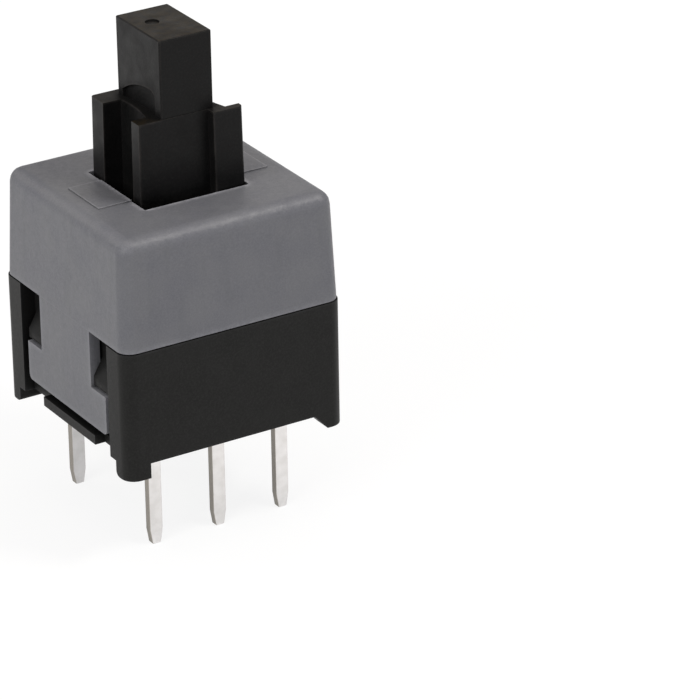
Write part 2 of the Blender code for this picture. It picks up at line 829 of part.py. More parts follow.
def make_plunger(carrier):
    plunger = make_sleeve()
    tip = box(
        "tip",
        (-TIP_X / 2, TIP_X / 2),
        (-TIP_Y / 2, TIP_Y / 2),
        (sleeve_top - SINK, tip_top),
        edge=TIP_EDGE,
    )
    join(plunger, tip)
    cut(plunger, arch_pocket(-1), arch_pocket(1))
    dimple_low = tip_top - DIMPLE_DEPTH
    cut(plunger, cylinder("dimple", DIMPLE_PLACE, DIMPLE_WIDTH / 2, dimple_low, tip_top + THROUGH, sides=16))
    join(plunger, make_slider())
    keep(plunger, plunger_plastic, carrier)


# Moving contacts


def make_moving_contacts(carrier):
    """A plate staked to each side of the slider, with three sprung fingers that wipe the blades."""
    for row, name in ((-1, "moving_contact_front"), (1, "moving_contact_rear")):
        inner = slider_half_y + WIRE_GAP
        outer = inner + WIPER_THICKNESS
        plate_y = sorted((row * inner, row * outer))
        half = WIPER_PLATE_WIDTH / 2
        plate_z = (wiper_plate_low, wiper_plate_low + WIPER_PLATE_HEIGHT)
        plate = box(name, (-half, half), plate_y, plate_z)
        middle = (inner + outer) / 2
        touch = blade_inner_y - WIRE_GAP - WIPER_THICKNESS / 2
        path = [(row * middle, wiper_plate_low + SINK)]
        path += smooth_path(
            [
                (row * middle, wiper_plate_low - SINK),
                (row * (middle + touch) / 2, wiper_contact_z + WIPER_BEND_SHARE * WIPER_CONTACT_DROP),
                (row * touch, wiper_contact_z),
                (row * (touch - WIPER_LIP_BACK), wiper_contact_z - WIPER_LIP_DROP),
            ]
        )
        for column in (-1, 0, 1):
            low = column * WIPER_PITCH - WIPER_FINGER_WIDTH / 2
            finger = strip_outline(path, WIPER_THICKNESS)
            high = low + WIPER_FINGER_WIDTH
            join(plate, outline_solid(f"finger {row} {column}", [finger], low, high, axis="X"))
        for side in (-1, 1):
            place = (side * STAKE_X, wiper_plate_low + STAKE_RISE_Z)
            hole_y = sorted((row * (inner - THROUGH), row * (outer + THROUGH)))
            hole = cylinder(
                f"stake hole {row} {side}", place, STAKE_DIAMETER / 2 + FIT, *hole_y, axis="Y", sides=16
            )
            cut(plate, hole)
        keep(plate, phosphor_bronze, carrier)


# Springs and latch


def make_return_spring():
    """A coil spring with closed ends, standing on the floor round its stub."""
    radius = (SPRING_DIAMETER - SPRING_WIRE) / 2
    low = floor_top + SPRING_WIRE / 2 + WIRE_GAP
    rise = SPRING_LENGTH - SPRING_WIRE - 2 * WIRE_GAP
    points = []
    count = SPRING_TURNS * SPRING_STEPS
    for step in range(count + 1):
        share = step / count
        angle = 2 * math.pi * SPRING_TURNS * share
        end_turn = 1.0 / SPRING_TURNS
        closed = SPRING_WIRE * SPRING_END_PITCH / rise
        if share < end_turn:
            up = closed * share / end_turn
        elif share > 1 - end_turn:
            up = 1 - closed * (1 - share) / end_turn
        else:
            up = closed + (1 - 2 * closed) * (share - end_turn) / (1 - 2 * end_turn)
        points.append((SPRING_X + radius * math.cos(angle), radius * math.sin(angle), low + rise * up))
    keep(wire("return_spring", points, SPRING_WIRE), spring_steel)


def make_latch_pin(carrier):
    """A wire bent at both ends: its foot turns in the post, and its tip runs in the cam."""
    path = [(LATCH_X - LATCH_FOOT_REACH, 0.0, pivot_z)]
    path += [(x, 0.0, z) for x, z in arc((LATCH_X - LATCH_BEND, pivot_z + LATCH_BEND), LATCH_BEND, 270, 360)]
    path += [(x, 0.0, z) for x, z in arc((LATCH_X - LATCH_BEND, latch_tip_z - LATCH_BEND), LATCH_BEND, 0, 90)]
    path.append((LATCH_X - LATCH_TIP_REACH, 0.0, latch_tip_z))
    pin = wire("latch_pin", path, LATCH_WIRE, place=(LATCH_X, 0.0, pivot_z))
    keep(pin, spring_steel)
    pin.location = (0.0, 0.0, 0.0)
    pin.parent = carrier
    pin.matrix_parent_inverse = Matrix.Identity(4)


def make_latch_spring():
    """A leaf clipped upright behind its rib and bowed against the latch pin."""
    heel_x = cavity_half_x - FIT - LEAF_THICKNESS / 2
    touch_x = LATCH_X + LATCH_WIRE / 2 + WIRE_GAP + LEAF_THICKNESS / 2
    path = smooth_path(
        [
            (heel_x, floor_top + WIRE_GAP),
            (heel_x, floor_top + LEAF_HEEL),
            ((heel_x + touch_x) / 2, floor_top + LEAF_BEND_RISE),
            (touch_x, floor_top + LEAF_TOUCH_RISE),
            (touch_x + LEAF_FLARE, floor_top + LEAF_TOP_RISE),
        ]
    )
    leaf = outline_solid(
        "latch_spring", [strip_outline(path, LEAF_THICKNESS)], -LEAF_WIDTH / 2, LEAF_WIDTH / 2, axis="Y"
    )
    keep(leaf, phosphor_bronze)


clear_scene()
switch = collection("pushbutton_switch")
cutters = collection("cutters")
grey_plastic = material("grey moulded plastic", (0.20, 0.20, 0.21), 0.45)
black_plastic = material("black moulded plastic", (0.025, 0.025, 0.027), 0.4)
plunger_plastic = material("black acetal", (0.022, 0.021, 0.021), 0.35)
tinned_brass = material("tinned brass", (0.72, 0.70, 0.66), 0.3, 1.0)
phosphor_bronze = material("phosphor bronze", (0.62, 0.42, 0.26), 0.35, 1.0)
spring_steel = material("spring steel", (0.55, 0.55, 0.56), 0.3, 1.0)

plunger_axis = axis_empty("plunger_axis", (0.0, 0.0, cover_top))
latch_axis = axis_empty("latch_axis", (LATCH_X, 0.0, pivot_z))
make_cover()
make_base()
make_terminals()
make_plunger(plunger_axis)
make_moving_contacts(plunger_axis)
make_return_spring()
make_latch_pin(latch_axis)
make_latch_spring()
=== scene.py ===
"""Looks of the miniature pushbutton switch: finishes, edges, return spring, light and camera.

Everything is in metres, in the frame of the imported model: +Z up, z = 0 at the pin tips.
"""

import math

import bpy
from mathutils import Matrix, Vector


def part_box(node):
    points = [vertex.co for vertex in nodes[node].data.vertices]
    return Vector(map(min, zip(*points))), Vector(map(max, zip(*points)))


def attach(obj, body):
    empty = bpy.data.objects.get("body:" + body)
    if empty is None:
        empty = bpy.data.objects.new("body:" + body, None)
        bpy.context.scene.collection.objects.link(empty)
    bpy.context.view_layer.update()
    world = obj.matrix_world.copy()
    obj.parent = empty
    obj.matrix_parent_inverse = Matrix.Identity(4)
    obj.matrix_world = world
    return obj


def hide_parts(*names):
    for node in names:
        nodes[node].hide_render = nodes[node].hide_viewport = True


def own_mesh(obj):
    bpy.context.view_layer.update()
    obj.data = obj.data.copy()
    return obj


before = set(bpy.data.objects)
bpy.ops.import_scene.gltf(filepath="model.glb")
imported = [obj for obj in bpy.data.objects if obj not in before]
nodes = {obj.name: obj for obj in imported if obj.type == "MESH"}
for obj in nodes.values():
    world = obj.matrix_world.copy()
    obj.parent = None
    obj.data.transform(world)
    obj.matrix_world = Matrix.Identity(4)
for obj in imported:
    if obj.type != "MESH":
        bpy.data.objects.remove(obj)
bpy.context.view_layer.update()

MM = 0.001

# Camera, solved from the corners of the switch in a 700 pixel wide frame.
# Angles are in degrees, the pivot and the offset in millimetres, the clips in metres.
FOCAL_PIXELS = 4613.0
FRAME_PIXELS = 700.0
SENSOR_WIDTH = 36.0
VIEW_AZIMUTH = -31.375
VIEW_ELEVATION = 25.129
VIEW_ROLL = -0.917
VIEW_PIVOT = (0.0, 0.0, 4.0)
VIEW_OFFSET = (-6.019, -1.364, -159.015)
CLIP_NEAR = 0.005
CLIP_FAR = 10.0

# What the room lights the switch with, and what the floor shows in it; 1 would be white
WORLD_LEVEL = 0.32
FLOOR_LEVEL = 0.36

# The floor as it is seen: its own white near the switch, and the distances in millimetres
# between which that rises to full white; half its width in metres
FLOOR_WHITE = 0.86
FLOOR_RISE_FROM = 20.0
FLOOR_RISE_TO = 120.0
FLOOR_REACH = 1.5

# Soft boxes, all aimed at one point: place, width and depth in millimetres, watts, colour.
# The two at the back are what the top of the cover and its left round mirror to the camera.
LAMP_AIM = (0, 0, 9)
LAMPS = (
    ("left", (-120, -50, 80), 80, 80, 0.082, "#FFFDFA"),
    ("top right", (58, -64, 122), 44, 16, 0.078, "#FFFBF6"),
    ("top", (0, 0, 130), 90, 90, 0.029, "#FFF1DE"),
    ("back right", (94, 154, 84), 110, 110, 0.0145, "#FFF3E2"),
    ("back left", (-63, 115, 80), 80, 80, 0.024, "#FFF6E9"),
)

# Return spring: its wire in millimetres, its turns, the pitch of a closed end turn in wire
# diameters, and how many steps a turn and how many sides the wire has
SPRING_WIRE = 0.2
SPRING_TURNS = 8
SPRING_END_PITCH = 1.15
SPRING_STEPS = 32
SPRING_SIDES = 14

# Width of the rounded edges in millimetres; the latch pin is round wire and has none
COVER_ROUND = 0.05
BASE_ROUND = 0.05
PLUNGER_ROUND = 0.06
TERMINAL_ROUND = 0.03
STRIP_ROUND = 0.02
WIRE_ROUND = 0.0

# How the edges are rounded: weld distance in metres, what counts as one flat and what as an
# edge in degrees, steps across a round, and how strongly the large faces hold the shading
WELD_WITHIN = 1e-6
FLAT_WITHIN = 0.6
EDGE_FROM = 34.0
ROUND_STEPS = 3
FLAT_WEIGHT = 80

# How far the pale edge of a moulding reaches, in millimetres, part wear and part painted highlight:
# grey, then black
GREY_EDGE = 0.3
BLACK_EDGE = 0.12

# How far about a point, in millimetres, walls make it a recess: cover, base, then plunger
COVER_RECESS = 0.7
BASE_RECESS = 1.3
PLUNGER_RECESS = 1.2

# The open share about a point where an edge begins and is full, and a recess likewise
EDGE_BEGINS, EDGE_FULL = 0.85, 0.55
RECESS_BEGINS, RECESS_FULL = 0.9, 0.35
OPEN_SAMPLES = 6

# The grey cover's edges are pale above this height in millimetres, part rub and part painted
# highlight. Below it the share that is left is reached over the fade, also in millimetres.
RUB_AND_HIGHLIGHT_ABOVE = 11.3
RUB_AND_HIGHLIGHT_FADE = 0.3
RUB_AND_HIGHLIGHT_BELOW = 0.3

# The round over the cover's top edges: how much its middle faces up, how far from that the
# round begins and is full, and the share of the pale edge colour that it takes as a painted sheen
ROUND_FACES_UP = 0.55
ROUND_BEGINS, ROUND_FULL = 0.42, 0.3
ROUND_SHEEN = 0.07

# Depths of relief in millimetres
COVER_GRAIN_DEPTH = 0.002
COVER_TOOTH_DEPTH = 0.024
BLACK_GRAIN_DEPTH = 0.003
SINK_DEPTH = 0.008
TIN_DEPTH = 0.004
ROLLED_DEPTH = 0.002
DRAWN_DEPTH = 0.002

# Kinds of node that come up often
BUMP = "ShaderNodeBump"
MATH = "ShaderNodeMath"
MIX = "ShaderNodeMix"
NOISE = "ShaderNodeTexNoise"
RANGE = "ShaderNodeMapRange"
SPLIT = "ShaderNodeSeparateXYZ"

# Sockets of a Mix node, by number because its numbers and its colours have the same names
SHARE = 0
NUMBER_A, NUMBER_B, NUMBER_OUT = 2, 3, 0
COLOUR_A, COLOUR_B, COLOUR_OUT = 6, 7, 2


# Colours and nodes


def linear(hex_colour):
    """An sRGB colour written as #rrggbb, as linear values with alpha."""
    parts = [int(hex_colour[place : place + 2], 16) / 255 for place in (1, 3, 5)]
    return (
        *(part / 12.92 if part <= 0.04045 else ((part + 0.055) / 1.055) ** 2.4 for part in parts),
        1.0,
    )


def add(tree, kind, inputs=None, **settings):
    """Adds a node. Each input takes a value, or the socket that feeds it."""
    node = tree.nodes.new(kind)
    for name, value in settings.items():
        setattr(node, name, value)
    for name, value in (inputs or {}).items():
        if isinstance(value, bpy.types.NodeSocket):
            tree.links.new(value, node.inputs[name])
        else:
            node.inputs[name].default_value = value
    return node


def per_mm(size):
    """The noise scale whose features are about this many millimetres across."""
    return 1.0 / (size * MM)


def finish_material(name, colour, metallic, roughness, specular=0.5):
    """A material with its even values on the shader, and its tree, shader and coordinates."""
    made = bpy.data.materials.new(name)
    made.use_nodes = True
    tree = made.node_tree
    tree.nodes.clear()
    shader = add(
        tree,
        "ShaderNodeBsdfPrincipled",
        {
            "Base Color": linear(colour),
            "Metallic": metallic,
            "Roughness": roughness,
            "Specular IOR Level": specular,
        },
    )
    add(tree, "ShaderNodeOutputMaterial", {"Surface": shader.outputs["BSDF"]})
    place = add(tree, "ShaderNodeTexCoord").outputs["Object"]
    return made, tree, shader, place


def outer_edges(tree, pattern, reach):
    """1 on the outer edges of a moulding, broken up by a pattern, and 0 on its flats."""
    flat = add(
        tree,
        "ShaderNodeAmbientOcclusion",
        {"Distance": reach * MM},
        inside=True,
        only_local=True,
        samples=OPEN_SAMPLES,
    ).outputs["AO"]
    near = add(
        tree, RANGE, {"Value": flat, "From Min": EDGE_BEGINS, "From Max": EDGE_FULL}
    ).outputs["Result"]
    return add(tree, MATH, {0: near, 1: pattern}, operation="MULTIPLY").outputs[0]


def recesses(tree, reach, alone):
    """1 in the deep corners of a moulding, which the finishes keep dark as painted shade; alone
    leaves its neighbours out.
    """
    open_share = add(
        tree,
        "ShaderNodeAmbientOcclusion",
        {"Distance": reach * MM},
        only_local=alone,
        samples=OPEN_SAMPLES,
    ).outputs["AO"]
    return add(
        tree, RANGE, {"Value": open_share, "From Min": RECESS_BEGINS, "From Max": RECESS_FULL}
    ).outputs["Result"]


# Finishes


def grey_pbt():
    """Glass-filled PBT from a spark-eroded mould: a dull mid grey, paler on its edges by rub and
    painted highlight, with a painted sheen on its top round and painted shade in its corners.
    """
    made, tree, shader, place = finish_material(
        "grey glass-filled PBT", "#6E6E71", 0.0, 0.5, 0.35
    )
    cloud = add(
        tree, NOISE, {"Vector": place, "Scale": per_mm(1.4), "Detail": 3.0}
    ).outputs["Fac"]
    grain = add(
        tree, NOISE, {"Vector": place, "Scale": per_mm(0.06), "Detail": 2.0, "Roughness": 0.6}
    ).outputs["Fac"]
    tooth = add(
        tree, NOISE, {"Vector": place, "Scale": per_mm(0.2), "Detail": 4.0, "Roughness": 0.7}
    ).outputs["Fac"]

    # Clouded grey with paler specks of glass fibre
    share = add(
        tree, RANGE, {"Value": cloud, "From Min": 0.35, "From Max": 0.65}
    ).outputs["Result"]
    base = add(
        tree,
        MIX,
        {SHARE: share, COLOUR_A: linear("#6A6B71"), COLOUR_B: linear("#707175")},
        data_type="RGBA",
    ).outputs[COLOUR_OUT]
    speck = add(
        tree, RANGE, {"Value": grain, "From Min": 0.35, "From Max": 0.7, "To Max": 0.5}
    ).outputs["Result"]
    grained = add(
        tree, MIX, {SHARE: speck, COLOUR_A: base, COLOUR_B: linear("#7E7E82")}, data_type="RGBA"
    ).outputs[COLOUR_OUT]

    # Paler edges, part rub and part painted highlight, strongest about the top
    broken = add(
        tree, RANGE, {"Value": tooth, "From Min": 0.35, "From Max": 0.6, "To Min": 0.3}
    ).outputs["Result"]
    height = add(tree, SPLIT, {"Vector": place}).outputs["Z"]
    top_rub_and_highlight = add(
        tree,
        RANGE,
        {
            "Value": height,
            "From Min": RUB_AND_HIGHLIGHT_ABOVE * MM,
            "From Max": (RUB_AND_HIGHLIGHT_ABOVE + RUB_AND_HIGHLIGHT_FADE) * MM,
            "To Min": RUB_AND_HIGHLIGHT_BELOW,
        },
    ).outputs["Result"]
    rub_and_highlight = add(tree, MATH, {0: broken, 1: top_rub_and_highlight}, operation="MULTIPLY").outputs[0]
    # A painted sheen on the round over the top edges, picked out by the way its faces point
    facing = add(tree, "ShaderNodeNewGeometry").outputs["Normal"]
    upward = add(tree, SPLIT, {"Vector": facing}).outputs["Z"]
    tilt = add(tree, MATH, {0: upward, 1: ROUND_FACES_UP}, operation="SUBTRACT").outputs[0]
    off_round = add(tree, MATH, {0: tilt}, operation="ABSOLUTE").outputs[0]
    on_round = add(
        tree, RANGE, {"Value": off_round, "From Min": ROUND_BEGINS, "From Max": ROUND_FULL}
    ).outputs["Result"]
    round_sheen_pattern = add(tree, MATH, {0: on_round, 1: rub_and_highlight}, operation="MULTIPLY").outputs[0]
    round_sheen = add(tree, MATH, {0: round_sheen_pattern, 1: ROUND_SHEEN}, operation="MULTIPLY").outputs[0]
    sharp_rub_and_highlight = outer_edges(tree, rub_and_highlight, GREY_EDGE)
    edge_wear_and_highlight = add(tree, MATH, {0: sharp_rub_and_highlight, 1: round_sheen}, operation="MAXIMUM").outputs[0]
    worn_and_highlit = add(
        tree, MIX, {SHARE: edge_wear_and_highlight, COLOUR_A: grained, COLOUR_B: linear("#ADADB3")}, data_type="RGBA"
    ).outputs[COLOUR_OUT]

    # Upright flow streaks, and painted shade in the corners
    flow_place = add(
        tree, "ShaderNodeMapping", {"Vector": place, "Scale": (1.0, 1.0, 0.2)}
    ).outputs["Vector"]
    flow = add(
        tree, NOISE, {"Vector": flow_place, "Scale": per_mm(0.5), "Detail": 2.0}
    ).outputs["Fac"]
    streak = add(
        tree, RANGE, {"Value": flow, "From Min": 0.55, "From Max": 0.75, "To Max": 0.2}
    ).outputs["Result"]
    streaked = add(
        tree, MIX, {SHARE: streak, COLOUR_A: worn_and_highlit, COLOUR_B: linear("#5F6165")}, data_type="RGBA"
    ).outputs[COLOUR_OUT]
    deep = recesses(tree, COVER_RECESS, True)
    painted_corner_shade = add(
        tree, MIX, {SHARE: deep, COLOUR_A: streaked, COLOUR_B: linear("#3C3C3B")}, data_type="RGBA"
    ).outputs[COLOUR_OUT]
    tree.links.new(painted_corner_shade, shader.inputs["Base Color"])

    rough = add(
        tree,
        RANGE,
        {"Value": tooth, "From Min": 0.3, "From Max": 0.7, "To Min": 0.3, "To Max": 0.5},
    ).outputs["Result"]
    tree.links.new(rough, shader.inputs["Roughness"])

    # The tooth is deeper on the round than on the flats
    fine = add(
        tree, BUMP, {"Height": grain, "Distance": COVER_GRAIN_DEPTH * MM, "Strength": 1.0}
    ).outputs["Normal"]
    depth = add(tree, RANGE, {"Value": on_round, "To Min": 0.4, "To Max": 1.0}).outputs["Result"]
    coarse = add(
        tree,
        BUMP,
        {
            "Height": tooth,
            "Distance": COVER_TOOTH_DEPTH * MM,
            "Strength": depth,
            "Normal": fine,
        },
    ).outputs["Normal"]
    tree.links.new(coarse, shader.inputs["Normal"])
    return made


def black_pbt():
    """Glass-filled PBT in black: satin, with a fine speckle and faint paler flow marks."""
    made, tree, shader, place = finish_material(
        "black glass-filled PBT", "#18181A", 0.0, 0.45, 0.2
    )
    cloud = add(
        tree, NOISE, {"Vector": place, "Scale": per_mm(1.0), "Detail": 3.0, "Distortion": 0.6}
    ).outputs["Fac"]
    grain = add(
        tree, NOISE, {"Vector": place, "Scale": per_mm(0.07), "Detail": 3.0, "Roughness": 0.6}
    ).outputs["Fac"]
    share = add(tree, RANGE, {"Value": cloud, "From Min": 0.3, "From Max": 0.7}).outputs["Result"]
    base = add(
        tree,
        MIX,
        {SHARE: share, COLOUR_A: linear("#121211"), COLOUR_B: linear("#181817")},
        data_type="RGBA",
    ).outputs[COLOUR_OUT]
    speck = add(
        tree, RANGE, {"Value": grain, "From Min": 0.42, "From Max": 0.75, "To Max": 0.7}
    ).outputs["Result"]
    speckled = add(
        tree, MIX, {SHARE: speck, COLOUR_A: base, COLOUR_B: linear("#282827")}, data_type="RGBA"
    ).outputs[COLOUR_OUT]
    # Paler edges, part wear and part painted highlight
    edge_wear_and_highlight = outer_edges(tree, share, BLACK_EDGE)
    worn_and_highlit = add(
        tree, MIX, {SHARE: edge_wear_and_highlight, COLOUR_A: speckled, COLOUR_B: linear("#2E2E2F")}, data_type="RGBA"
    ).outputs[COLOUR_OUT]

    # Painted shade keeps the deep windows beside the tabs dark, and they are dull
    deep = recesses(tree, BASE_RECESS, False)
    shaded = add(
        tree, MIX, {SHARE: deep, COLOUR_A: worn_and_highlit, COLOUR_B: linear("#020202")}, data_type="RGBA"
    ).outputs[COLOUR_OUT]
    tree.links.new(shaded, shader.inputs["Base Color"])
    rough = add(
        tree,
        RANGE,
        {"Value": grain, "From Min": 0.3, "From Max": 0.7, "To Min": 0.38, "To Max": 0.55},
    ).outputs["Result"]
    matt = add(
        tree, MIX, {SHARE: deep, NUMBER_A: rough, NUMBER_B: 1.0}
    ).outputs[NUMBER_OUT]
    tree.links.new(matt, shader.inputs["Roughness"])
    relief = add(
        tree, BUMP, {"Height": grain, "Distance": BLACK_GRAIN_DEPTH * MM, "Strength": 1.0}
    ).outputs["Normal"]
    tree.links.new(relief, shader.inputs["Normal"])
    return made


def black_acetal():
    """Black acetal: slick, with paler edges by rub and painted highlight, and a brownish film of
    dust on what faces up, kept off the corners as painted shade.
    """
    made, tree, shader, place = finish_material("black acetal", "#110F0F", 0.0, 0.4, 0.18)
    cloud = add(
        tree, NOISE, {"Vector": place, "Scale": per_mm(0.8), "Detail": 3.0, "Distortion": 0.4}
    ).outputs["Fac"]
    grain = add(
        tree, NOISE, {"Vector": place, "Scale": per_mm(0.07), "Detail": 3.0, "Roughness": 0.65}
    ).outputs["Fac"]
    share = add(tree, RANGE, {"Value": cloud, "From Min": 0.3, "From Max": 0.7}).outputs["Result"]
    base = add(
        tree,
        MIX,
        {SHARE: share, COLOUR_A: linear("#060606"), COLOUR_B: linear("#0E0D0D")},
        data_type="RGBA",
    ).outputs[COLOUR_OUT]
    speck = add(
        tree, RANGE, {"Value": grain, "From Min": 0.45, "From Max": 0.8, "To Max": 0.6}
    ).outputs["Result"]
    speckled = add(
        tree, MIX, {SHARE: speck, COLOUR_A: base, COLOUR_B: linear("#1E1D1C")}, data_type="RGBA"
    ).outputs[COLOUR_OUT]
    # Paler edges, part rub and part painted highlight
    edge_wear_and_highlight = outer_edges(tree, share, BLACK_EDGE)
    worn_and_highlit = add(
        tree, MIX, {SHARE: edge_wear_and_highlight, COLOUR_A: speckled, COLOUR_B: linear("#34312F")}, data_type="RGBA"
    ).outputs[COLOUR_OUT]

    # Blotchy dust on what faces up in the open, kept out of the corners so that they stay dark as
    # painted shade
    facing = add(tree, "ShaderNodeNewGeometry").outputs["True Normal"]
    upward = add(tree, SPLIT, {"Vector": facing}).outputs["Z"]
    deep = recesses(tree, PLUNGER_RECESS, True)
    exposed = add(tree, MATH, {0: upward, 1: deep}, operation="SUBTRACT").outputs[0]
    settled = add(
        tree, RANGE, {"Value": exposed, "From Min": 0.75, "From Max": 1.0, "To Max": 0.95}
    ).outputs["Result"]
    blots = add(
        tree, NOISE, {"Vector": place, "Scale": per_mm(0.22), "Detail": 4.0, "Roughness": 0.65}
    ).outputs["Fac"]
    film = add(
        tree, RANGE, {"Value": blots, "From Min": 0.35, "From Max": 0.62, "To Min": 0.1}
    ).outputs["Result"]
    dusty = add(tree, MATH, {0: settled, 1: film}, operation="MULTIPLY").outputs[0]
    dusted = add(
        tree, MIX, {SHARE: dusty, COLOUR_A: worn_and_highlit, COLOUR_B: linear("#241C0B")}, data_type="RGBA"
    ).outputs[COLOUR_OUT]
    tree.links.new(dusted, shader.inputs["Base Color"])

    rough = add(
        tree,
        RANGE,
        {"Value": cloud, "From Min": 0.3, "From Max": 0.7, "To Min": 0.32, "To Max": 0.5},
    ).outputs["Result"]
    matt = add(
        tree, MIX, {SHARE: deep, NUMBER_A: rough, NUMBER_B: 1.0}
    ).outputs[NUMBER_OUT]
    tree.links.new(matt, shader.inputs["Roughness"])
    fine = add(
        tree, BUMP, {"Height": grain, "Distance": BLACK_GRAIN_DEPTH * MM, "Strength": 1.0}
    ).outputs["Normal"]
    sinks = add(
        tree,
        BUMP,
        {"Height": cloud, "Distance": SINK_DEPTH * MM, "Strength": 1.0, "Normal": fine},
    ).outputs["Normal"]
    tree.links.new(sinks, shader.inputs["Normal"])
    return made


def tinned_brass():
    """Stamped brass under bright tin: warm white on its rolled faces, duller where sheared."""
    made, tree, shader, place = finish_material("bright tin on brass", "#EDEAE6", 1.0, 0.3)
    pools = add(
        tree, NOISE, {"Vector": place, "Scale": per_mm(0.35), "Detail": 2.0}
    ).outputs["Fac"]
    share = add(tree, RANGE, {"Value": pools, "From Min": 0.3, "From Max": 0.7}).outputs["Result"]
    rolled = add(
        tree,
        MIX,
        {SHARE: share, COLOUR_A: linear("#E6E4E2"), COLOUR_B: linear("#F3F1F0")},
        data_type="RGBA",
    ).outputs[COLOUR_OUT]
    facing = add(tree, "ShaderNodeNewGeometry").outputs["True Normal"]
    sideways = add(tree, SPLIT, {"Vector": facing}).outputs["X"]
    turned = add(tree, MATH, {0: sideways}, operation="ABSOLUTE").outputs[0]
    sheared = add(
        tree, RANGE, {"Value": turned, "From Min": 0.5, "From Max": 0.8}
    ).outputs["Result"]
    colour = add(
        tree, MIX, {SHARE: sheared, COLOUR_A: rolled, COLOUR_B: linear("#ABA69E")}, data_type="RGBA"
    ).outputs[COLOUR_OUT]
    tree.links.new(colour, shader.inputs["Base Color"])
    rough = add(tree, RANGE, {"Value": sheared, "To Min": 0.3, "To Max": 0.5}).outputs["Result"]
    tree.links.new(rough, shader.inputs["Roughness"])
    relief = add(
        tree, BUMP, {"Height": pools, "Distance": TIN_DEPTH * MM, "Strength": 1.0}
    ).outputs["Normal"]
    tree.links.new(relief, shader.inputs["Normal"])
    return made


def phosphor_bronze():
    """Rolled phosphor bronze strip: warm metal with fine rolling lines."""
    made, tree, shader, place = finish_material("phosphor bronze strip", "#C08A5E", 1.0, 0.3)
    along = add(
        tree, "ShaderNodeMapping", {"Vector": place, "Scale": (1.0, 1.0, 0.08)}
    ).outputs["Vector"]
    lines = add(
        tree, NOISE, {"Vector": along, "Scale": per_mm(0.05), "Detail": 2.0}
    ).outputs["Fac"]
    share = add(tree, RANGE, {"Value": lines, "From Min": 0.3, "From Max": 0.7}).outputs["Result"]
    colour = add(
        tree,
        MIX,
        {SHARE: share, COLOUR_A: linear("#B27C50"), COLOUR_B: linear("#CC9A6E")},
        data_type="RGBA",
    ).outputs[COLOUR_OUT]
    tree.links.new(colour, shader.inputs["Base Color"])
    relief = add(
        tree, BUMP, {"Height": lines, "Distance": ROLLED_DEPTH * MM, "Strength": 1.0}
    ).outputs["Normal"]
    tree.links.new(relief, shader.inputs["Normal"])
    return made


def drawn_steel():
    """Drawn spring steel wire: cool bright metal with faint die marks."""
    made, tree, shader, place = finish_material("drawn spring steel", "#A9AAAC", 1.0, 0.25)
    marks = add(
        tree, NOISE, {"Vector": place, "Scale": per_mm(0.06), "Detail": 2.0}
    ).outputs["Fac"]
    rough = add(
        tree,
        RANGE,
        {"Value": marks, "From Min": 0.3, "From Max": 0.7, "To Min": 0.2, "To Max": 0.35},
    ).outputs["Result"]
    tree.links.new(rough, shader.inputs["Roughness"])
    relief = add(
        tree, BUMP, {"Height": marks, "Distance": DRAWN_DEPTH * MM, "Strength": 1.0}
    ).outputs["Normal"]
    tree.links.new(relief, shader.inputs["Normal"])
    return made


# Edges


def soften_edges(obj, width):
    """Rounds the moulded or stamped edges of a node by modifiers, and shades it smooth."""
    obj.data.shade_smooth()
    weld = obj.modifiers.new("weld", "WELD")
    weld.merge_threshold = WELD_WITHIN
    flat = obj.modifiers.new("one face per flat", "DECIMATE")
    flat.decimate_type = "DISSOLVE"
    flat.angle_limit = math.radians(FLAT_WITHIN)
    edge = obj.modifiers.new("rounded edges", "BEVEL")
    edge.width = width * MM
    edge.segments = ROUND_STEPS
    edge.limit_method = "ANGLE"
    edge.angle_limit = math.radians(EDGE_FROM)
    edge.use_clamp_overlap = True
    obj.modifiers.new("flats stay flat", "WEIGHTED_NORMAL").weight = FLAT_WEIGHT


def dress(names, material, width):
    """Gives nodes of the CAD their finish, and rounded edges where they have a width."""
    for name in names:
        node = nodes[name]
        node.data.materials.clear()
        node.data.materials.append(material)
        if width:
            soften_edges(node, width)


# Return spring


